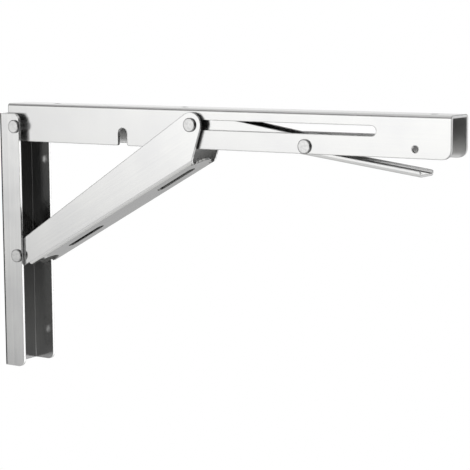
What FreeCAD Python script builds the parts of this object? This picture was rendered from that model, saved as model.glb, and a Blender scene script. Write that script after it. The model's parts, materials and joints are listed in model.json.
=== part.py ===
"""Folding shelf bracket in stainless sheet, shown unfolded and locked.

A channel fixed to the wall carries a long arm and a slanting strut. The strut's
upper pin runs in a slot of the arm, so the arm folds down against the wall. A
lever inside the arm blocks that pin until its handle is pressed upwards.

Frame: origin on the wall face, midway between the two wall screws, +X away from
the wall along the arm, +Z up, and Y across, with Y = 0 the plane of symmetry.
"""
import FreeCAD, Part
import os
import re
import Sketcher

# Driving dimensions in millimetres and degrees
SIZES = {
    # Sheet, bends and the room left between the nested channels
    "plate_sheet": 2.0,
    "arm_sheet": 2.0,
    "strut_sheet": 1.5,
    "lever_sheet": 1.5,
    "bend_inside": 0.5,
    "arm_width": 23.0,
    "strut_side_gap": 1.8,
    "plate_side_gap": 0.5,
    "lever_side_gap": 0.4,
    # Pivot places: heights from the arm's pivot, lengths along the arm from it
    "pivot_from_wall": 14.5,
    "pivot_spacing": 92.8,
    "slide_along": 151.0,
    "slot_above": 5.4,
    "lever_pivot_along": 237.5,
    "lever_pivot_below": 5.9,
    # Rivets and what turns or slides on them
    "pin_diameter": 6.0,
    "pin_clearance": 0.05,
    "head_diameter": 9.3,
    "head_height": 1.5,
    "head_chamfer": 0.4,
    "collar_diameter": 8.2,
    "side_clearance": 0.3,
    # Wall channel
    "plate_height": 183.0,
    "plate_above": 9.2,
    "plate_depth": 18.6,
    "plate_corner": 5.0,
    "wall_screw_below": 27.0,
    "wall_screw_spacing": 128.0,
    "wall_screw_hole": 5.5,
    # Shelf arm
    "arm_length": 350.0,
    "arm_behind": 10.4,
    "arm_above": 16.2,
    "arm_below": 10.6,
    "arm_toe_radius": 6.0,
    "arm_heel_radius": 8.0,
    "slot_width": 6.5,
    "slot_far_end": 288.5,
    "notch_width": 7.6,
    "notch_top": 1.4,
    "notch_lead": 0.4,
    "notch_mouth_radius": 1.5,
    "tie_hole": 4.4,
    "tie_hole_from_front": 24.1,
    "tie_hole_below": 4.8,
    "shelf_screw_hole": 4.5,
    "shelf_screw_first": 36.5,
    "shelf_screw_pitch": 110.5,
    "shelf_screw_from_front": 17.0,
    # Strut
    "strut_edge": 8.4,
    "strut_depth_foot": 10.2,
    "strut_depth_head": 23.0,
    "strut_foot": 9.0,
    "strut_foot_radius": 6.5,
    "strut_end_angle": 39.0,
    "strut_web_start": 6.0,
    "strut_arch_width": 20.0,
    "strut_arch_top": 18.0,
    "strut_relief": 4.6,
    "strut_tongue": 4.5,
    "strut_tongue_width": 16.0,
    "strut_slot_width": 6.5,
    "strut_slot_length": 34.0,
    "strut_slot_first": 34.3,
    "strut_slot_second": 124.6,
    # Release lever
    "lever_tilt": 7.4,
    "lever_below": 5.9,
    "lever_reach": 81.5,
    "lever_lip": 3.6,
    "lever_lip_radius": 1.4,
    "lever_top": 5.6,
    "lever_shoulder": 8.0,
    "lever_handle_start": 19.5,
    "lever_neck_radius": 6.0,
    "lever_nose_radius": 3.0,
    "lever_lock_gap": 0.3,
    "lever_stop_gap": 0.9,
    # Strip spring on the lever's pivot
    "spring_sheet": 0.8,
    "spring_width": 9.0,
    "spring_pin_gap": 0.3,
    "spring_press": 9.0,
    "spring_stay": 55.0,
}

# Values that follow from the driving dimensions
DERIVED = {
    "arm_inside": "arm_width - 2 * arm_sheet",
    "strut_inside": "arm_width + 2 * strut_side_gap",
    "strut_width": "strut_inside + 2 * strut_sheet",
    "plate_inside": "strut_width + 2 * plate_side_gap",
    "plate_width": "plate_inside + 2 * plate_sheet",
    "lever_width": "arm_inside - 2 * lever_side_gap",
    "pin_hole": "pin_diameter + 2 * pin_clearance",
    "pivot_height": "wall_screw_spacing / 2 + wall_screw_below",
    "plate_top": "pivot_height + plate_above",
    "plate_bottom": "plate_top - plate_height",
    "arm_front": "arm_length - arm_behind",
    "arm_ceiling": "arm_above - arm_sheet",
    "pin_rise": "pivot_spacing + slot_above",
    "strut_pins": "sqrt(slide_along * slide_along + pin_rise * pin_rise)",
    "strut_taper": "strut_depth_head - strut_depth_foot",
    "strut_run": "sqrt(strut_pins * strut_pins - strut_taper * strut_taper)",
    "strut_taper_angle": "atan(strut_taper / strut_run) / 1deg",
    "strut_lean": "atan(pin_rise / slide_along) / 1deg - strut_taper_angle",
    "strut_tip": "strut_pins + strut_edge / tan(strut_end_angle / 2)",
    "strut_tip_x": "strut_tip * cos(strut_taper_angle) - strut_edge * sin(strut_taper_angle)",
    "strut_tip_z": "strut_tip * sin(strut_taper_angle) + strut_edge * cos(strut_taper_angle)",
    "strut_end_steep": "strut_end_angle + strut_taper_angle",
    "strut_web_end": "strut_tip_x - (strut_tip_z + strut_depth_foot) / tan(strut_end_steep)",
    "strut_foot_top": "strut_edge / cos(strut_taper_angle) - strut_foot * tan(strut_taper_angle)",
    "strut_floor": "strut_sheet - strut_depth_foot",
    "strut_bend": "strut_sheet + bend_inside",
    "lock_along": "lever_pivot_along - slide_along - pin_diameter / 2 - lever_lock_gap",
    "lock_above": "slot_above + lever_pivot_below",
    "lever_nose": "lock_along * cos(lever_tilt) + lock_above * sin(lever_tilt)",
    "lever_floor": "lever_sheet - lever_below",
    "lever_ceiling": "arm_ceiling - lever_stop_gap + lever_pivot_below",
    "lever_nose_top": "(lever_ceiling - lever_nose * sin(lever_tilt)) / cos(lever_tilt)",
    "spring_inside": "pin_diameter / 2 + spring_pin_gap",
    "spring_outside": "spring_inside + spring_sheet",
    "spring_top": "arm_ceiling + lever_pivot_below - side_clearance",
}

doc = FreeCAD.newDocument("folding_bracket")
sheet = doc.addObject("Spreadsheet::Sheet", "sizes")
for row, (alias, size) in enumerate(SIZES.items(), start=1):
    sheet.set(f"A{row}", alias)
    sheet.set(f"B{row}", str(size))
    sheet.setAlias(f"B{row}", alias)
doc.recompute()


def bound(text):
    """The expression for a formula, with every name replaced by its cell or its own formula."""

    def cell(match):
        name = match.group()
        if name in SIZES:
            return f"sizes.{name}"
        if name in DERIVED:
            return f"({bound(DERIVED[name])})"
        return name

    return re.sub(r"[a-z_]+", cell, text)


def value(text):
    """The number that a formula has now, in millimetres or degrees."""
    number = sheet.evalExpression(bound(text))
    return float(getattr(number, "Value", number))


def new_body(label):
    body = doc.addObject("PartDesign::Body", label)
    body.Label = label
    return body


def place(body, x, z, turn=None):
    """Puts a body's own origin at (x, 0, z), turned about Y so that its X axis falls by `turn`."""
    if turn:
        start = FreeCAD.Rotation(FreeCAD.Vector(0, 1, 0), value(turn))
        body.Placement = FreeCAD.Placement(FreeCAD.Vector(), start)
        body.setExpression("Placement.Rotation.Angle", bound(turn))
    body.setExpression("Placement.Base.x", bound(x))
    body.setExpression("Placement.Base.z", bound(z))


def new_sketch(body, name, role):
    sketch = body.newObject("Sketcher::SketchObject", f"{body.Name}_{name}")
    plane = next(item for item in body.Origin.OriginFeatures if item.Role == role)
    sketch.AttachmentSupport = [(plane, "")]
    sketch.MapMode = "FlatFace"
    return sketch


def pin_point(sketch, geometry, point, across, up):
    """Ties one point of a sketch to the sketch's origin by two formulas."""
    for kind, text in (("DistanceX", across), ("DistanceY", up)):
        constraint = Sketcher.Constraint(kind, -1, 1, geometry, point, value(text))
        index = sketch.addConstraint(constraint)
        sketch.setExpression(f"Constraints[{index}]", bound(text))


def pin_radius(sketch, geometry, text):
    index = sketch.addConstraint(Sketcher.Constraint("Radius", geometry, value(text)))
    sketch.setExpression(f"Constraints[{index}]", bound(text))


def outline(body, name, role, points):
    """A closed polygon whose corners are given as pairs of formulas."""
    sketch = new_sketch(body, name, role)
    corners = [FreeCAD.Vector(value(across), value(up), 0) for across, up in points]
    count = len(corners)
    for index in range(count):
        side = Part.LineSegment(corners[index], corners[(index + 1) % count])
        sketch.addGeometry(side, False)
    for index in range(count):
        joined = Sketcher.Constraint("Coincident", index, 2, (index + 1) % count, 1)
        sketch.addConstraint(joined)
    for index, (across, up) in enumerate(points):
        pin_point(sketch, index, 1, across, up)
    return sketch


def round_holes(body, name, role, holes):
    """Circles given as formulas for their centre and diameter."""
    sketch = new_sketch(body, name, role)
    for index, (across, up, diameter) in enumerate(holes):
        centre = FreeCAD.Vector(value(across), value(up), 0)
        circle = Part.Circle(centre, FreeCAD.Vector(0, 0, 1), value(diameter) / 2)
        sketch.addGeometry(circle, False)
        pin_point(sketch, index, 3, across, up)
        pin_radius(sketch, index, f"({diameter}) / 2")
    return sketch


def long_hole(body, name, role, first, second, width):
    """A slot with round ends, given by its two end centres and its width."""
    sketch = new_sketch(body, name, role)
    start = FreeCAD.Vector(value(first[0]), value(first[1]), 0)
    end = FreeCAD.Vector(value(second[0]), value(second[1]), 0)
    radius = value(width) / 2
    along = (end - start).normalize()
    side = FreeCAD.Vector(-along.y, along.x, 0) * radius
    cap = along * radius
    sketch.addGeometry(Part.Arc(start + side, start - cap, start - side), False)
    sketch.addGeometry(Part.LineSegment(start - side, end - side), False)
    sketch.addGeometry(Part.Arc(end - side, end + cap, end + side), False)
    sketch.addGeometry(Part.LineSegment(end + side, start + side), False)
    for index in range(4):
        sketch.addConstraint(Sketcher.Constraint("Tangent", index, 2, (index + 1) % 4, 1))
    sketch.addConstraint(Sketcher.Constraint("Equal", 0, 2))
    pin_point(sketch, 0, 3, *first)
    pin_point(sketch, 2, 3, *second)
    pin_radius(sketch, 0, f"({width}) / 2")
    return sketch


def pad(body, sketch, width):
    """Extrudes a sketch to both sides of its plane."""
    feature = body.newObject("PartDesign::Pad", f"{sketch.Name}_pad")
    feature.Profile = sketch
    feature.SideType = "Symmetric"
    feature.setExpression("Length", bound(width))
    doc.recompute()
    return feature


def pocket(body, sketch, width=None):
    """Cuts a sketch to both sides of its plane, right through or to a given width."""
    before = body.Shape.Volume
    feature = body.newObject("PartDesign::Pocket", f"{sketch.Name}_cut")
    feature.Profile = sketch
    feature.SideType = "Symmetric"
    if width:
        feature.setExpression("Length", bound(width))
    else:
        feature.Type = "ThroughAll"
    doc.recompute()
    if body.Shape.Volume >= before:
        raise RuntimeError(f"{feature.Name} removes nothing")
    return feature


def fillet(body, name, radius, wanted):
    """Rounds the edges of the body so far that `wanted` picks."""
    base = body.Tip
    edges = [f"Edge{index}" for index, edge in enumerate(base.Shape.Edges, start=1) if wanted(edge)]
    if not edges:
        raise RuntimeError(f"{body.Label}: no edge for {name}")
    feature = body.newObject("PartDesign::Fillet", f"{body.Name}_{name}")
    feature.Base = (base, edges)
    feature.setExpression("Radius", bound(radius))
    doc.recompute()
    return feature


def crossing(*corners):
    """Picks the edges across the part, along Y, that start at one of the (x, z) corners."""
    places = [(value(x), value(z)) for x, z in corners]

    def wanted(edge):
        first, last = edge.firstVertex().Point, edge.lastVertex().Point
        if abs(first.y - last.y) < edge.Length - 1e-6:
            return False
        return any(abs(first.x - x) < 1e-4 and abs(first.z - z) < 1e-4 for x, z in places)

    return wanted


def bend_line(half_width, level, axis):
    """Picks the two edges that run along a bend, at +-half_width in Y and one level of x or z."""
    half, height = value(half_width), value(level)

    def wanted(edge):
        first, last = edge.firstVertex().Point, edge.lastVertex().Point
        level_with = abs(getattr(first, axis) - height) < 1e-4 and abs(getattr(last, axis) - height) < 1e-4
        return level_with and abs(abs(first.y) - half) < 1e-4 and abs(first.y - last.y) < 1e-4

    return wanted


def fold_channel(body, width, thickness, axis, level, web, inside):
    """Folds a padded block into a channel: rounds it outside, hollows it, and rounds it inside.

    The web's faces are at `level` outside and `web` inside on the axis x or z, and the sketch
    `inside` is the side view of the hollow.
    """
    inside_width = f"{width} - 2 * {thickness}"
    fillet(body, "bend_outside", f"bend_inside + {thickness}", bend_line(f"({width}) / 2", level, axis))
    pocket(body, inside, inside_width)
    fillet(body, "bend_inside", "bend_inside", bend_line(f"({inside_width}) / 2", web, axis))


def turned(label, profile):
    """A piece turned about Y, from formulas for (y, radius) round its half section."""
    body = new_body(label)
    sketch = outline(body, "profile", "YZ_Plane", profile)
    feature = body.newObject("PartDesign::Revolution", f"{body.Name}_turned")
    feature.Profile = sketch
    feature.ReferenceAxis = (sketch, ["H_Axis"])
    feature.Angle = 360
    doc.recompute()
    return body


def rivet(label, grip):
    """A rivet with a flat round head at each side of the sheets that it grips."""
    half = f"({grip}) / 2"
    return turned(label, [
        (f"-{half} - head_height", "0"),
        (f"-{half} - head_height", "head_diameter / 2 - head_chamfer"),
        (f"head_chamfer - {half} - head_height", "head_diameter / 2"),
        (f"-{half}", "head_diameter / 2"),
        (f"-{half}", "pin_diameter / 2"),
        (half, "pin_diameter / 2"),
        (half, "head_diameter / 2"),
        (f"{half} + head_height - head_chamfer", "head_diameter / 2"),
        (f"{half} + head_height", "head_diameter / 2 - head_chamfer"),
        (f"{half} + head_height", "0"),
    ])


# Wall channel: folded with its web flat on the wall, screwed through two holes
plate = new_body("wall_plate")
pad(plate, outline(plate, "side", "XZ_Plane", [
    ("0", "plate_bottom"),
    ("plate_depth", "plate_bottom"),
    ("plate_depth", "plate_top"),
    ("0", "plate_top"),
]), "plate_width")
fillet(plate, "corner", "plate_corner", crossing(
    ("plate_depth", "plate_bottom"), ("plate_depth", "plate_top")))
plate_hollow = outline(plate, "inside", "XZ_Plane", [
    ("plate_sheet", "plate_bottom - plate_sheet"),
    ("2 * plate_depth", "plate_bottom - plate_sheet"),
    ("2 * plate_depth", "plate_top + plate_sheet"),
    ("plate_sheet", "plate_top + plate_sheet"),
])
fold_channel(plate, "plate_width", "plate_sheet", "x", "0", "plate_sheet", plate_hollow)
pocket(plate, round_holes(plate, "pivots", "XZ_Plane", [
    ("pivot_from_wall", "pivot_height", "pin_hole"),
    ("pivot_from_wall", "pivot_height - pivot_spacing", "pin_hole"),
]))
pocket(plate, round_holes(plate, "wall_screws", "YZ_Plane", [
    ("0", "wall_screw_spacing / 2", "wall_screw_hole"),
    ("0", "-wall_screw_spacing / 2", "wall_screw_hole"),
]))
place(plate, "0", "0")

# Shelf arm: folded with its web on top, about the pivot as its own origin
arm = new_body("support_arm")
pad(arm, outline(arm, "side", "XZ_Plane", [
    ("-arm_behind", "-arm_below"),
    ("arm_front", "-arm_below"),
    ("arm_front", "arm_above"),
    ("-arm_behind", "arm_above"),
]), "arm_width")
fillet(arm, "toe", "arm_toe_radius", crossing(("arm_front", "-arm_below")))
fillet(arm, "heel", "arm_heel_radius", crossing(("-arm_behind", "-arm_below")))
arm_hollow = outline(arm, "inside", "XZ_Plane", [
    ("-2 * arm_behind", "-2 * arm_below"),
    ("arm_front + arm_behind", "-2 * arm_below"),
    ("arm_front + arm_behind", "arm_ceiling"),
    ("-2 * arm_behind", "arm_ceiling"),
])
fold_channel(arm, "arm_width", "arm_sheet", "z", "arm_above", "arm_ceiling", arm_hollow)
pocket(arm, long_hole(
    arm, "slide_slot", "XZ_Plane",
    ("slide_along - (slot_width - pin_diameter) / 2", "slot_above"),
    ("slot_far_end - slot_width / 2", "slot_above"),
    "slot_width"))
pocket(arm, long_hole(
    arm, "notch", "XZ_Plane",
    ("pivot_spacing - notch_lead", "notch_top - notch_width / 2"),
    ("pivot_spacing - notch_lead", "-arm_below - notch_width"),
    "notch_width"))
fillet(arm, "notch_mouth", "notch_mouth_radius", crossing(
    ("pivot_spacing - notch_lead - notch_width / 2", "-arm_below"),
    ("pivot_spacing - notch_lead + notch_width / 2", "-arm_below")))
pocket(arm, round_holes(arm, "cross_holes", "XZ_Plane", [
    ("0", "0", "pin_hole"),
    ("lever_pivot_along", "-lever_pivot_below", "pin_hole"),
    ("arm_front - tie_hole_from_front", "-tie_hole_below", "tie_hole"),
]))
pocket(arm, round_holes(arm, "shelf_screws", "XY_Plane", [
    ("shelf_screw_first - arm_behind", "0", "shelf_screw_hole"),
    ("shelf_screw_first + shelf_screw_pitch - arm_behind", "0", "shelf_screw_hole"),
    ("arm_front - shelf_screw_from_front", "0", "shelf_screw_hole"),
]))
place(arm, "pivot_from_wall", "pivot_height")

# Strut: a tapering channel, drawn with its web along X and its foot pivot as its own origin
strut = new_body("strut")
pad(strut, outline(strut, "side", "XZ_Plane", [
    ("-strut_foot", "-strut_depth_foot"),
    ("strut_web_end", "-strut_depth_foot"),
    ("strut_tip_x", "strut_tip_z"),
    ("-strut_foot", "strut_foot_top"),
]), "strut_width")
fillet(strut, "head", "strut_edge", crossing(("strut_tip_x", "strut_tip_z")))
strut_hollow = outline(strut, "inside", "XZ_Plane", [
    ("-2 * strut_foot", "strut_floor"),
    ("2 * strut_tip_x", "strut_floor"),
    ("2 * strut_tip_x", "2 * strut_tip_z"),
    ("-2 * strut_foot", "2 * strut_tip_z"),
])
fold_channel(strut, "strut_width", "strut_sheet", "z", "-strut_depth_foot", "strut_floor", strut_hollow)
pocket(strut, outline(strut, "foot_relief", "XZ_Plane", [
    ("-2 * strut_foot", "-2 * strut_depth_foot"),
    ("strut_web_start", "-2 * strut_depth_foot"),
    ("strut_web_start", "strut_bend - strut_depth_foot"),
    ("-2 * strut_foot", "strut_bend - strut_depth_foot"),
]))
fillet(strut, "foot", "strut_foot_radius", crossing(
    ("-strut_foot", "strut_bend - strut_depth_foot"), ("-strut_foot", "strut_foot_top")))
pocket(strut, long_hole(
    strut, "foot_arch", "XY_Plane",
    ("-strut_arch_width", "0"),
    ("strut_arch_top - strut_arch_width / 2", "0"),
    "strut_arch_width"))
tongue = long_hole(
    strut, "tongue", "XY_Plane",
    ("strut_web_end - strut_tongue_width", "0"),
    ("strut_web_end + strut_tongue - strut_tongue_width / 2", "0"),
    "strut_tongue_width")
tongue.setExpression("AttachmentOffset.Base.z", bound("(strut_sheet - 2 * strut_depth_foot) / 2"))
pad(strut, tongue, "strut_sheet")
for index, start in enumerate(("strut_slot_first", "strut_slot_second"), start=1):
    pocket(strut, long_hole(
        strut, f"web_slot_{index}", "XY_Plane",
        (f"{start} + strut_slot_width / 2", "0"),
        (f"{start} + strut_slot_length - strut_slot_width / 2", "0"),
        "strut_slot_width"))
pocket(strut, round_holes(strut, "end_reliefs", "XY_Plane", [
    ("strut_web_end", "strut_width / 2 - strut_bend - strut_relief / 2", "strut_relief"),
    ("strut_web_end", "strut_bend + strut_relief / 2 - strut_width / 2", "strut_relief"),
]))
pocket(strut, round_holes(strut, "pivots", "XZ_Plane", [
    ("0", "0", "pin_hole"),
    ("strut_run", "strut_taper", "pin_hole"),
]))
place(strut, "pivot_from_wall", "pivot_height - pivot_spacing", "-strut_lean")

# Release lever: a channel inside the arm with a low handle in front, about its pivot
lever = new_body("release_lever")
pad(lever, outline(lever, "side", "XZ_Plane", [
    ("-lever_nose", "-lever_below"),
    ("lever_reach", "-lever_below"),
    ("lever_reach", "lever_lip - lever_below"),
    ("lever_handle_start", "lever_lip - lever_below"),
    ("lever_shoulder", "lever_top"),
    ("-lever_nose", "lever_nose_top"),
]), "lever_width")
fillet(lever, "lip", "lever_lip_radius", crossing(("lever_reach", "lever_lip - lever_below")))
fillet(lever, "neck", "lever_neck_radius", crossing(
    ("lever_handle_start", "lever_lip - lever_below"), ("lever_shoulder", "lever_top")))
fillet(lever, "nose", "lever_nose_radius", crossing(("-lever_nose", "lever_nose_top")))
lever_hollow = outline(lever, "inside", "XZ_Plane", [
    ("-2 * lever_nose", "lever_floor"),
    ("2 * lever_reach", "lever_floor"),
    ("2 * lever_reach", "2 * lever_nose_top"),
    ("-2 * lever_nose", "2 * lever_nose_top"),
])
fold_channel(lever, "lever_width", "lever_sheet", "z", "-lever_below", "lever_floor", lever_hollow)
pocket(lever, round_holes(lever, "pivot", "XZ_Plane", [("0", "0", "pin_hole")]))
place(lever, "pivot_from_wall + lever_pivot_along", "pivot_height - lever_pivot_below", "lever_tilt")

# Through rivets of the three fixed pivots
place(rivet("arm_pivot_rivet", "plate_width"), "pivot_from_wall", "pivot_height")
place(rivet("strut_pivot_rivet", "plate_width"), "pivot_from_wall", "pivot_height - pivot_spacing")
place(rivet("lever_pivot_rivet", "arm_width"),
      "pivot_from_wall + lever_pivot_along", "pivot_height - lever_pivot_below")

# Pieces on each side of the arm: the spacer on its pivot, and the end of the strut's slide rivet
for hand, sign in (("left", "-"), ("right", "")):
    spacer = turned(f"arm_spacer_{hand}", [
        (f"{sign}(arm_width / 2 + side_clearance)", "pin_hole / 2"),
        (f"{sign}(arm_width / 2 + side_clearance)", "collar_diameter / 2"),
        (f"{sign}plate_inside / 2", "collar_diameter / 2"),
        (f"{sign}plate_inside / 2", "pin_hole / 2"),
    ])
    place(spacer, "pivot_from_wall", "pivot_height")
    stub = turned(f"slide_rivet_{hand}", [
        (f"{sign}strut_inside / 2", "0"),
        (f"{sign}strut_inside / 2", "pin_diameter / 2"),
        (f"{sign}strut_width / 2", "pin_diameter / 2"),
        (f"{sign}strut_width / 2", "head_diameter / 2"),
        (f"{sign}(strut_width / 2 + head_height - head_chamfer)", "head_diameter / 2"),
        (f"{sign}(strut_width / 2 + head_height)", "head_diameter / 2 - head_chamfer"),
        (f"{sign}(strut_width / 2 + head_height)", "0"),
    ])
    place(stub, "pivot_from_wall + slide_along", "pivot_height + slot_above")

# Lever spring: a flat strip wrapped behind the lever's rivet, its short leg on the handle's web, its
# long leg below the slide rivet's path and then up to the arm's web
spring = new_body("lever_spring")
pad(spring, round_holes(spring, "wrap", "XZ_Plane", [
    ("0", "0", "2 * spring_outside"),
    ("0", "0", "2 * spring_inside"),
]), "spring_width")
pocket(spring, outline(spring, "wrap_mouth", "XZ_Plane", [
    ("0", "-2 * spring_outside"),
    ("2 * spring_outside", "-2 * spring_outside"),
    ("2 * spring_outside", "2 * spring_outside"),
    ("0", "2 * spring_outside"),
]))
pad(spring, outline(spring, "short_leg", "XZ_Plane", [
    ("0", "-spring_inside"),
    ("0", "-spring_outside"),
    ("spring_press", "-spring_outside - spring_press * tan(lever_tilt)"),
    ("spring_press", "-spring_inside - spring_press * tan(lever_tilt)"),
]), "spring_width")
pad(spring, outline(spring, "long_leg", "XZ_Plane", [
    ("0", "spring_inside"),
    ("spring_stay", "spring_inside"),
    ("spring_stay", "spring_top"),
    ("spring_stay - spring_sheet", "spring_top"),
    ("spring_stay - spring_sheet", "spring_outside"),
    ("0", "spring_outside"),
]), "spring_width")
place(spring, "pivot_from_wall + lever_pivot_along", "pivot_height - lever_pivot_below")

doc.recompute()
faulty = [item.Name for item in doc.Objects if "Invalid" in item.State or "Error" in item.State]
if faulty:
    raise RuntimeError(f"failed features: {faulty}")
bodies = [item for item in doc.Objects if item.TypeId == "PartDesign::Body"]
for body in bodies:
    if body.Shape.isNull() or not body.Shape.isValid():
        raise RuntimeError(f"{body.Label} is not a valid solid")
os.makedirs("parts", exist_ok=True)
for body in bodies:
    body.Shape.exportStep(f"parts/{body.Label}.step")
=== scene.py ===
"""Looks of a folding shelf bracket in satin stainless sheet, shown unfolded on white."""

import json
import math

import bmesh
import bpy
from mathutils import Matrix, Vector


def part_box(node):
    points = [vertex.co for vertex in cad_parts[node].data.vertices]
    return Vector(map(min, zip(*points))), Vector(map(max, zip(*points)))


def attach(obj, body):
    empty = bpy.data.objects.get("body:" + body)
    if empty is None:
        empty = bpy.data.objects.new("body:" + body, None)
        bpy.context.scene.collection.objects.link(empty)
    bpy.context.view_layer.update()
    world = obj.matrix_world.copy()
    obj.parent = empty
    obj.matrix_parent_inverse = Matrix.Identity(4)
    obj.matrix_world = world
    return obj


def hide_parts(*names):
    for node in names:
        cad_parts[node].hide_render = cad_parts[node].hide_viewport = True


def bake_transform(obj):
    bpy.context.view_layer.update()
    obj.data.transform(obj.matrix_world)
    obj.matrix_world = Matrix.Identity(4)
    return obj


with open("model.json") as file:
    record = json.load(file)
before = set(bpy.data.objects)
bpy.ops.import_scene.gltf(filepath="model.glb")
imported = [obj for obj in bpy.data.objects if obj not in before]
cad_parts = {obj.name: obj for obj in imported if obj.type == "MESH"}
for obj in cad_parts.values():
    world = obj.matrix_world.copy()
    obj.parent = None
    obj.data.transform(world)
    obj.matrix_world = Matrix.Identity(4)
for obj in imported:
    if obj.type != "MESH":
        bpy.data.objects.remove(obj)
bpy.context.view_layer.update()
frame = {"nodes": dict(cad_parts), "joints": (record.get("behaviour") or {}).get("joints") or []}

# Wall channel: stainless sheet 2 mm thick, blanked, pierced and folded with its web on the wall,
# where two screws hold it. The satin polish runs up its outer faces, which handling has clouded a
# little. Its inner faces are painted darker as painted shade, its sheared faces are painted near
# white as a painted highlight, and its rims are deburred and darkened as edge wear and painted shade.
satin_sheet = bpy.data.node_groups.new("satin_sheet", "ShaderNodeTree")
for socket_name, socket_kind in (
        ("Coordinates", "NodeSocketVector"), ("Grain", "NodeSocketVector"), ("Light", "NodeSocketColor"),
        ("Dark", "NodeSocketColor"), ("Roughness", "NodeSocketFloat"), ("Edge", "NodeSocketFloat"),
        ("Facing", "NodeSocketVector"), ("Depth", "NodeSocketVector"), ("Web", "NodeSocketFloat"),
        ("Inside", "NodeSocketColor"), ("Sheared", "NodeSocketColor")):
    satin_sheet.interface.new_socket(socket_name, in_out="INPUT", socket_type=socket_kind)
for socket_name, socket_kind in (
        ("Colour", "NodeSocketColor"), ("Roughness", "NodeSocketFloat"), ("Normal", "NodeSocketVector")):
    satin_sheet.interface.new_socket(socket_name, in_out="OUTPUT", socket_type=socket_kind)
given = satin_sheet.nodes.new("NodeGroupInput").outputs
result = satin_sheet.nodes.new("NodeGroupOutput").inputs


def sheet_feed(socket, source):
    """Links a socket of the finish to a source, or sets it to a plain value or a level of grey."""
    if isinstance(source, bpy.types.NodeSocket):
        satin_sheet.links.new(source, socket)
    elif socket.type == "RGBA":
        socket.default_value = (source, source, source, 1.0)
    else:
        socket.default_value = source


def sheet_value(operation, *sources):
    """A value worked out from others, each a link or a number."""
    node = satin_sheet.nodes.new("ShaderNodeMath")
    node.operation = operation
    for socket, source in zip(node.inputs, sources):
        sheet_feed(socket, source)
    return node.outputs["Value"]


def sheet_vector(operation, first, second):
    """The outputs of a node that works on two vectors."""
    node = satin_sheet.nodes.new("ShaderNodeVectorMath")
    node.operation = operation
    sheet_feed(node.inputs[0], first)
    sheet_feed(node.inputs[1], second)
    return node.outputs


def sheet_across(vector):
    """The part of a vector that runs across the channel."""
    node = satin_sheet.nodes.new("ShaderNodeSeparateXYZ")
    sheet_feed(node.inputs["Vector"], vector)
    return node.outputs["Y"]


def sheet_noise(place, scale, detail, roughness):
    """Noise over the sheet."""
    node = satin_sheet.nodes.new("ShaderNodeTexNoise")
    node.inputs["Scale"].default_value = scale
    node.inputs["Detail"].default_value = detail
    node.inputs["Roughness"].default_value = roughness
    sheet_feed(node.inputs["Vector"], place)
    return node.outputs["Fac"]


def sheet_mask(value, start, end):
    """A mask that goes from 0 to 1 as the value goes from start to end."""
    node = satin_sheet.nodes.new("ShaderNodeMapRange")
    node.inputs["From Min"].default_value = start
    node.inputs["From Max"].default_value = end
    sheet_feed(node.inputs["Value"], value)
    return node.outputs["Result"]


def sheet_colour(mask, first, second, blend_type="MIX"):
    """Mixes two colours, each a link or a level of grey."""
    node = satin_sheet.nodes.new("ShaderNodeMix")
    node.data_type = "RGBA"
    node.blend_type = blend_type
    sheet_feed(node.inputs["Factor"], mask)
    sheet_feed(node.inputs["A"], first)
    sheet_feed(node.inputs["B"], second)
    return node.outputs["Result"]


# Polishing streaks, drawn out along the grain, and cloudy handling marks some 30 mm across
streak_share = 0.9
drawn_out = sheet_vector("MULTIPLY", given["Coordinates"], given["Grain"])["Vector"]
streaks = sheet_noise(drawn_out, scale=1.0, detail=4.0, roughness=0.6)
clouds = sheet_noise(given["Coordinates"], scale=32.0, detail=3.0, roughness=0.5)
mottle = sheet_value("MULTIPLY_ADD", streaks, streak_share, clouds)
face_colour = sheet_colour(sheet_mask(mottle, 0.7, 1.2), given["Dark"], given["Light"])

# Sheared faces: turned away from the sides, and either across the channel or beyond its web
side_turn = 0.3
web_turn = 0.7
sideways = sheet_across(given["Facing"])
not_side = sheet_value("LESS_THAN", sheet_value("ABSOLUTE", sideways), side_turn)
web_facing = sheet_vector("DOT_PRODUCT", given["Facing"], given["Depth"])["Value"]
not_along_web = sheet_value("LESS_THAN", sheet_value("ABSOLUTE", web_facing), web_turn)
deepness = sheet_vector("DOT_PRODUCT", given["Coordinates"], given["Depth"])["Value"]
beyond_web = sheet_value("GREATER_THAN", deepness, given["Web"])
sheared = sheet_value("MULTIPLY", not_side, sheet_value("MAXIMUM", not_along_web, beyond_web))

# Inner faces, their grey scaled by the inside level: painted shade where it is below 1, painted light
# where it is above 1. They are those of the sides, turned towards the middle, and of the web
inward_turn = -0.001
outwards = sheet_value("MULTIPLY", sheet_across(given["Coordinates"]), sideways)
side_inside = sheet_value("LESS_THAN", outwards, inward_turn)
web_inside = sheet_value("GREATER_THAN", web_facing, web_turn)
inner_face = sheet_value("MAXIMUM", side_inside, web_inside)
painted_inner_colour = sheet_colour(inner_face, face_colour, given["Inside"], "MULTIPLY")
sheared_colour = sheet_colour(sheared, painted_inner_colour, given["Sheared"])

# Edges: where a rounding of 0.8 mm would turn the normal away from the flat face, the colour is
# darkened towards near black, as deburred edge wear and painted shade
deburr_radius = 0.0008
rim_shade_grey = 0.04
deburr = satin_sheet.nodes.new("ShaderNodeBevel")
deburr.samples = 4
deburr.inputs["Radius"].default_value = deburr_radius
flat_face = satin_sheet.nodes.new("ShaderNodeNewGeometry")
rounding = sheet_vector("DOT_PRODUCT", deburr.outputs["Normal"], flat_face.outputs["Normal"])["Value"]
edge_wear_and_shade = sheet_value("MULTIPLY", sheet_mask(rounding, 0.985, 0.9), given["Edge"])
sheet_feed(result["Colour"], sheet_colour(edge_wear_and_shade, sheared_colour, rim_shade_grey))

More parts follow.
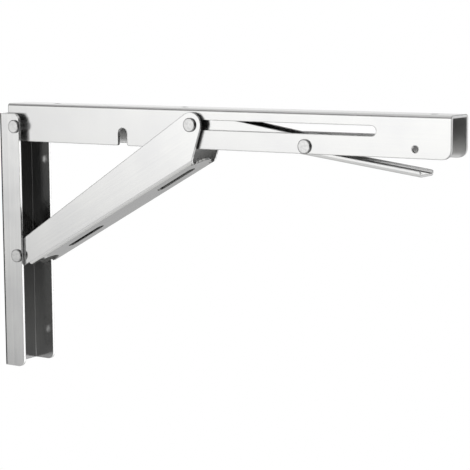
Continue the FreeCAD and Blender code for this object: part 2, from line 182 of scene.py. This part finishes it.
# Roughness and relief follow the streaks, and edges and sheared faces are rougher
streak_roughness = 0.08
edge_roughness = 0.25
sheared_roughness = 0.04
rough_streaks = sheet_value("MULTIPLY_ADD", streaks, streak_roughness, given["Roughness"])
rough_edges = sheet_value("MULTIPLY_ADD", edge_wear_and_shade, edge_roughness, rough_streaks)
sheet_feed(result["Roughness"], sheet_value("MULTIPLY_ADD", sheared, sheared_roughness, rough_edges))
relief = satin_sheet.nodes.new("ShaderNodeBump")
relief.inputs["Strength"].default_value = 0.02
relief.inputs["Distance"].default_value = 0.0002
sheet_feed(relief.inputs["Height"], streaks)
sheet_feed(relief.inputs["Normal"], deburr.outputs["Normal"])
sheet_feed(result["Normal"], relief.outputs["Normal"])


def stainless(
        name, grain, light, dark, roughness, edge, turn=0.0, depth=None, web=0.0, inside=1.0,
        sheared_level=0.5):
    """A satin stainless finish: its streaks run where `grain` is small, on axes turned about Y.

    `light` and `dark` are the greys of its clouds and streaks, and `edge` is how dark its rims are
    painted, as edge wear and painted shade. On a channel, `depth` points from the web into the hollow
    on those axes, and the web ends at `web` along it. `inside` is then how bright the inner faces are
    painted beside the outer ones: painted shade below 1, painted light above 1. `sheared_level` is
    the grey of the sheared faces, a painted highlight where it is near white.
    """
    material = bpy.data.materials.new(name)
    material.use_nodes = True
    tree = material.node_tree
    shader = tree.nodes["Principled BSDF"]
    shader.inputs["Metallic"].default_value = 1.0
    place = tree.nodes.new("ShaderNodeTexCoord")
    along = tree.nodes.new("ShaderNodeMapping")
    along.inputs["Rotation"].default_value = (0.0, math.radians(turn), 0.0)
    facing_along = tree.nodes.new("ShaderNodeMapping")
    facing_along.vector_type = "VECTOR"
    facing_along.inputs["Rotation"].default_value = (0.0, math.radians(turn), 0.0)
    finish = tree.nodes.new("ShaderNodeGroup")
    finish.node_tree = satin_sheet
    finish.inputs["Grain"].default_value = grain
    finish.inputs["Light"].default_value = (light, light, 0.985 * light, 1.0)
    finish.inputs["Dark"].default_value = (dark, dark, dark, 1.0)
    finish.inputs["Roughness"].default_value = roughness
    finish.inputs["Edge"].default_value = edge
    finish.inputs["Inside"].default_value = (inside, inside, inside, 1.0)
    finish.inputs["Sheared"].default_value = (sheared_level, sheared_level, sheared_level, 1.0)
    if depth:
        finish.inputs["Depth"].default_value = depth
        finish.inputs["Web"].default_value = web
        tree.links.new(place.outputs["Normal"], facing_along.inputs["Vector"])
        tree.links.new(facing_along.outputs["Vector"], finish.inputs["Facing"])
    else:
        finish.inputs["Facing"].default_value = (0.0, 1.0, 0.0)
    tree.links.new(place.outputs["Object"], along.inputs["Vector"])
    tree.links.new(along.outputs["Vector"], finish.inputs["Coordinates"])
    tree.links.new(finish.outputs["Colour"], shader.inputs["Base Color"])
    tree.links.new(finish.outputs["Roughness"], shader.inputs["Roughness"])
    tree.links.new(finish.outputs["Normal"], shader.inputs["Normal"])
    return material


def dress(node, material):
    """Gives a piece of the frame its finish."""
    mesh = frame["nodes"][node].data
    mesh.materials.clear()
    mesh.materials.append(material)


grain_up = (420.0, 420.0, 8.0)
web_cover = 0.0035
# Painted highlight: the wall channel's sheared faces are painted near white (0.95).
# Painted shade: the wall channel's inner faces are painted at 0.55 of its outer grey.
dress("wall_plate", stainless(
    "wall_plate_satin", grain_up, light=0.74, dark=0.62, roughness=0.10, edge=0.2,
    depth=(1.0, 0.0, 0.0), web=web_cover, inside=0.55, sheared_level=0.95))

# Shelf arm: the longest channel, 2 mm stainless sheet folded with its web up under the shelf. It
# turns on a rivet in the wall channel. The polish runs along it, and its slot, notch and holes were
# pierced before folding.
grain_along = (16.0, 900.0, 900.0)
arm_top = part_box("support_arm")[1][2]
# Painted shade: the arm's inner faces are painted at 0.9 of its outer grey.
dress("support_arm", stainless(
    "arm_satin", grain_along, light=0.80, dark=0.75, roughness=0.20, edge=1.0,
    depth=(0.0, 0.0, -1.0), web=web_cover - arm_top, inside=0.9))

# Arm's pivot: a stainless rivet through both sides of the wall channel, headed over on each side,
# the sides of its heads painted near black as painted shadow, and two turned spacers, painted near
# black as the shade in the gap, that keep the arm in the middle of the channel.
grain_hammered = (600.0, 600.0, 600.0)
rivet_satin = stainless("rivet_satin", grain_hammered, light=0.70, dark=0.52, roughness=0.12, edge=1.0)
# Painted shadow: wherever a rivet's surface turns away from its axis, as on the sides of its heads and on
# the slide rivet's shank, its colour is mixed towards near black.
rivet_side_shadow = (0.09, 0.09, 0.09, 1.0)
rivet_tree = rivet_satin.node_tree
rivet_place = rivet_tree.nodes.new("ShaderNodeTexCoord")
rivet_facing = rivet_tree.nodes.new("ShaderNodeSeparateXYZ")
rivet_tree.links.new(rivet_place.outputs["Normal"], rivet_facing.inputs[0])
rivet_end = rivet_tree.nodes.new("ShaderNodeMath")
rivet_end.operation = "ABSOLUTE"
rivet_tree.links.new(rivet_facing.outputs["Y"], rivet_end.inputs[0])
rivet_side = rivet_tree.nodes.new("ShaderNodeMapRange")
rivet_side.inputs["From Min"].default_value = 0.85
rivet_side.inputs["From Max"].default_value = 0.4
rivet_tree.links.new(rivet_end.outputs[0], rivet_side.inputs["Value"])
rivet_colour = rivet_tree.nodes.new("ShaderNodeMix")
rivet_colour.data_type = "RGBA"
rivet_colour.inputs["B"].default_value = rivet_side_shadow
rivet_base = rivet_tree.nodes["Principled BSDF"].inputs["Base Color"]
rivet_tree.links.new(rivet_side.outputs["Result"], rivet_colour.inputs["Factor"])
rivet_tree.links.new(rivet_base.links[0].from_socket, rivet_colour.inputs["A"])
rivet_tree.links.new(rivet_colour.outputs["Result"], rivet_base)
dress("arm_pivot_rivet", rivet_satin)
# Painted shade: the spacers are made near black, standing in for the shade in the gap beside the arm.
greased_steel = stainless("greased_steel", grain_hammered, light=0.10, dark=0.06, roughness=0.35, edge=0.3)
for spacer in ("arm_spacer_left", "arm_spacer_right"):
    dress(spacer, greased_steel)

# Strut: a tapering channel folded from 1.5 mm stainless sheet, which carries the load down to the
# wall. It turns on a rivet at its foot, and the polish runs along its slope.
strut_slope = 29.0
strut_web_below_pivot = 0.0102


def joint_place(joint_name):
    """The point that a joint turns about."""
    return Vector(next(joint["pos_m"] for joint in frame["joints"] if joint["name"] == joint_name))


def turned_height(joint_name, slope):
    """The height of a joint on axes that rise with the slope."""
    place = joint_place(joint_name)
    return place.z * math.cos(math.radians(slope)) - place.x * math.sin(math.radians(slope))


strut_web = turned_height("strut_swing", strut_slope) - strut_web_below_pivot
# Painted shade: the strut's inner faces are painted at 0.7 of its outer grey.
dress("strut", stainless(
    "strut_satin", grain_along, light=0.76, dark=0.70, roughness=0.11, edge=0.9, turn=strut_slope,
    depth=(0.0, 0.0, 1.0), web=strut_web + web_cover, inside=0.7))

# Strut's pins: the stainless rivet of its foot through the wall channel, and the slide rivet of its
# head, whose plain shank runs in the arm's slot between the two headed ends.
for rivet_part in ("strut_pivot_rivet", "slide_rivet_left", "slide_rivet_right"):
    dress(rivet_part, rivet_satin)
shank_radius = 0.003
shank_chamfer = 0.0003
end_low, end_high = (Vector(corner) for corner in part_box("slide_rivet_left"))
shank_centre = Vector(((end_low.x + end_high.x) / 2, 0.0, (end_low.z + end_high.z) / 2))
shank_mesh = bpy.data.meshes.new("slide_rivet_shank")
shank_build = bmesh.new()
bmesh.ops.create_cone(
    shank_build, cap_ends=True, segments=64, radius1=shank_radius, radius2=shank_radius,
    depth=2 * abs(end_high.y),
    matrix=Matrix.Translation(shank_centre) @ Matrix.Rotation(math.pi / 2, 4, "X"))
shank_rims = [
    edge for edge in shank_build.edges if abs(edge.verts[0].co.y - edge.verts[1].co.y) < 1e-6]
bmesh.ops.bevel(
    shank_build, geom=shank_rims, affect="EDGES", offset=shank_chamfer,
    segments=2, profile=0.5, material=-1)
for shank_face in shank_build.faces:
    shank_face.smooth = abs(shank_face.normal.y) < 0.9
shank_build.to_mesh(shank_mesh)
shank_build.free()
shank_mesh.materials.append(rivet_satin)
shank = bpy.data.objects.new("slide_rivet_shank", shank_mesh)
bpy.context.scene.collection.objects.link(shank)
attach(shank, "strut_link")

# Release lever: a slim channel of 1.5 mm stainless sheet on a rivet inside the arm. Its nose blocks
# the slide rivet, and its low handle hangs out below the arm's front.
lever_slope = -7.4
lever_web_below_pivot = 0.0059
lever_web = turned_height("lever_release", lever_slope) - lever_web_below_pivot
# Painted light: the lever's inner faces are painted 1.2 times as bright as its outer ones.
dress("release_lever", stainless(
    "lever_satin", grain_along, light=0.74, dark=0.70, roughness=0.12, edge=0.15, turn=lever_slope,
    depth=(0.0, 0.0, 1.0), web=lever_web + web_cover, inside=1.2))
dress("lever_pivot_rivet", rivet_satin)

# Lever spring: a strip of hard rolled spring steel wrapped behind the lever's rivet, a little
# darker and duller than the sheet. Its long leg lies up in the arm, and its short leg presses on the
# lever's web.
grain_strip = (30.0, 700.0, 700.0)
spring_corner = math.radians(30.0)
spring_mesh = bpy.data.meshes.new("bent_lever_spring")
spring_build = bmesh.new()
spring_build.from_mesh(frame["nodes"]["lever_spring"].data)
bmesh.ops.remove_doubles(spring_build, verts=spring_build.verts, dist=1e-6)
for spring_face in spring_build.faces:
    spring_face.smooth = True
spring_build.to_mesh(spring_mesh)
spring_build.free()
spring_mesh.set_sharp_from_angle(angle=spring_corner)
spring_mesh.materials.clear()
spring_mesh.materials.append(
    stainless("spring_satin", grain_strip, light=0.52, dark=0.42, roughness=0.28, edge=0.5))
spring = bpy.data.objects.new("bent_lever_spring", spring_mesh)
bpy.context.scene.collection.objects.link(spring)
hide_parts("lever_spring")
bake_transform(spring)

# Studio floor: a pale matt disc well below the bracket, which hangs on a wall. It is seen only from
# other sides, and in the metal's undersides.
floor_centre = Vector((0.17, 0.0, -0.30))
floor_radius = 0.3
floor_mesh = bpy.data.meshes.new("studio_floor")
floor_build = bmesh.new()
bmesh.ops.create_circle(
    floor_build, cap_ends=True, segments=64, radius=floor_radius,
    matrix=Matrix.Translation(floor_centre))
floor_build.to_mesh(floor_mesh)
floor_build.free()
floor = bpy.data.objects.new("studio_floor", floor_mesh)
bpy.context.scene.collection.objects.link(floor)
floor_paint = bpy.data.materials.new("studio_floor")
floor_paint.use_nodes = True
floor_shader = floor_paint.node_tree.nodes["Principled BSDF"]
floor_shader.inputs["Base Color"].default_value = (0.78, 0.78, 0.77, 1.0)
floor_shader.inputs["Roughness"].default_value = 0.9
floor_mesh.materials.append(floor_paint)

# Camera: a long lens about a metre away, a little above the arm, from the arm's front left. Its place
# and turn were fitted to the bracket's pivots and corners.
azimuth, pitch, roll = math.radians(33.582), math.radians(7.498), math.radians(-0.365)
aim = Vector((0.19098, 0.0, 0.02317))
distance = 1.0613
focal_px, frame_px, sensor_mm = 1595.9, 470.0, 36.0
back = Vector((math.sin(azimuth) * math.cos(pitch), -math.cos(azimuth) * math.cos(pitch), math.sin(pitch)))
right = Vector((math.cos(azimuth), math.sin(azimuth), 0.0))
up = back.cross(right)
rolled_right = right * math.cos(roll) + up * math.sin(roll)
rolled_up = up * math.cos(roll) - right * math.sin(roll)
camera = bpy.data.objects.new("camera", bpy.data.cameras.new("camera"))
camera.data.sensor_width = sensor_mm
camera.data.lens = sensor_mm * focal_px / frame_px
camera.matrix_world = Matrix.Translation(aim + back * distance) @ Matrix(
    (rolled_right, rolled_up, back)).transposed().to_4x4()
bpy.context.scene.collection.objects.link(camera)
bpy.context.scene.camera = camera

# Studio: a white room, seen as plain white. In reflections it is brightest at eye level, and a dark
# bar high at the front left, a dark end at the far left, a dark flag at the front right and a dark
# upper part at the back right give the metal its contrast.
bpy.context.scene.view_settings.view_transform = "Standard"
world = bpy.data.worlds.new("studio")
bpy.context.scene.world = world
world.use_nodes = True
room = world.node_tree
direction = room.nodes.new("ShaderNodeTexCoord")
toward = room.nodes.new("ShaderNodeSeparateXYZ")
room.links.new(direction.outputs["Generated"], toward.inputs[0])


def room_shade(axis, stops):
    """A grey that runs through the stops, given as (direction's part along the axis, level)."""
    span = room.nodes.new("ShaderNodeMapRange")
    span.inputs["From Min"].default_value = -1.0
    room.links.new(toward.outputs[axis], span.inputs["Value"])
    ramp = room.nodes.new("ShaderNodeValToRGB")
    room.links.new(span.outputs["Result"], ramp.inputs["Fac"])
    elements = ramp.color_ramp.elements
    while len(elements) < len(stops):
        elements.new(1.0)
    for element, (part, level) in zip(elements, stops):
        element.position = (part + 1.0) / 2.0
        element.color = (level, level, level, 1.0)
    return ramp.outputs["Color"]


def room_mix(factor, first, second, blend_type="MIX"):
    """Mixes two colours, each a link or a level of grey."""
    mix = room.nodes.new("ShaderNodeMix")
    mix.data_type = "RGBA"
    mix.blend_type = blend_type
    for socket_name, source in (("Factor", factor), ("A", first), ("B", second)):
        socket = mix.inputs[socket_name]
        if isinstance(source, bpy.types.NodeSocket):
            room.links.new(source, socket)
        elif socket.type == "RGBA":
            socket.default_value = (source, source, source, 1.0)
        else:
            socket.default_value = source
    return mix.outputs["Result"]


def room_side(axis, start, end):
    """A mask that rises smoothly from 0 to 1 between two values of the direction's part along the axis."""
    mask = room.nodes.new("ShaderNodeMapRange")
    mask.interpolation_type = "SMOOTHSTEP"
    mask.inputs["From Min"].default_value = start
    mask.inputs["From Max"].default_value = end
    room.links.new(toward.outputs[axis], mask.inputs["Value"])
    return mask.outputs["Result"]


level_band = room_shade("Z", ((-0.45, 0.0), (-0.3, 1.0), (0.2, 1.0), (0.45, 0.0)))
front_left_end = room_shade(
    "X", ((-0.9, 0.03), (-0.76, 0.06), (-0.68, 0.9), (-0.55, 1.04), (-0.47, 1.09), (1.0, 1.08)))
front_left = room_mix(
    1.0,
    room_shade("Z", (
        (-0.55, 0.8), (-0.41, 0.78), (-0.24, 0.58), (-0.14, 0.9), (-0.09, 1.18), (-0.05, 1.38), (0.07, 1.3),
        (0.3, 1.2), (0.42, 0.6), (0.5, 0.12), (0.68, 0.12), (0.8, 0.6), (1.0, 0.7))),
    room_mix(level_band, 1.08, front_left_end), "MULTIPLY")
back_left_end = room_shade("X", ((-0.9, 0.03), (-0.76, 0.06), (-0.68, 0.84), (-0.42, 0.7), (1.0, 0.7)))
back_left = room_mix(
    1.0,
    room_shade("Z", ((-0.55, 0.7), (-0.41, 0.66), (-0.24, 0.8), (0.0, 1.3), (0.85, 1.0), (1.0, 0.7))),
    room_mix(level_band, 0.7, back_left_end), "MULTIPLY")
front_right = room_shade("Z", (
    (-0.4, 0.9), (-0.3, 0.8), (-0.2, 0.62), (-0.17, 0.36), (-0.15, 0.07), (-0.1, 0.07), (-0.07, 0.03),
    (0.15, 0.03), (0.35, 0.15), (0.6, 0.8), (1.0, 0.8)))
back_right = room_shade("Z", ((-0.3, 1.2), (0.2, 1.2), (0.36, 0.08), (1.0, 0.05)))
right_side = room_mix(room_side("Y", 0.35, 0.65), front_right, back_right)
left_side = room_mix(room_side("Y", 0.0, 0.45), front_left, back_left)
flagged = room_mix(room_side("X", -0.05, 0.25), left_side, right_side)
ray = room.nodes.new("ShaderNodeLightPath")
mirrored_or_through = room.nodes.new("ShaderNodeMath")
mirrored_or_through.operation = "MAXIMUM"
room.links.new(ray.outputs["Is Glossy Ray"], mirrored_or_through.inputs[0])
room.links.new(ray.outputs["Is Transmission Ray"], mirrored_or_through.inputs[1])
surroundings = room_mix(mirrored_or_through.outputs[0], 0.95, flagged)
backdrop = room_mix(ray.outputs["Is Camera Ray"], surroundings, 1.0)
room.links.new(backdrop, room.nodes["Background"].inputs["Color"])
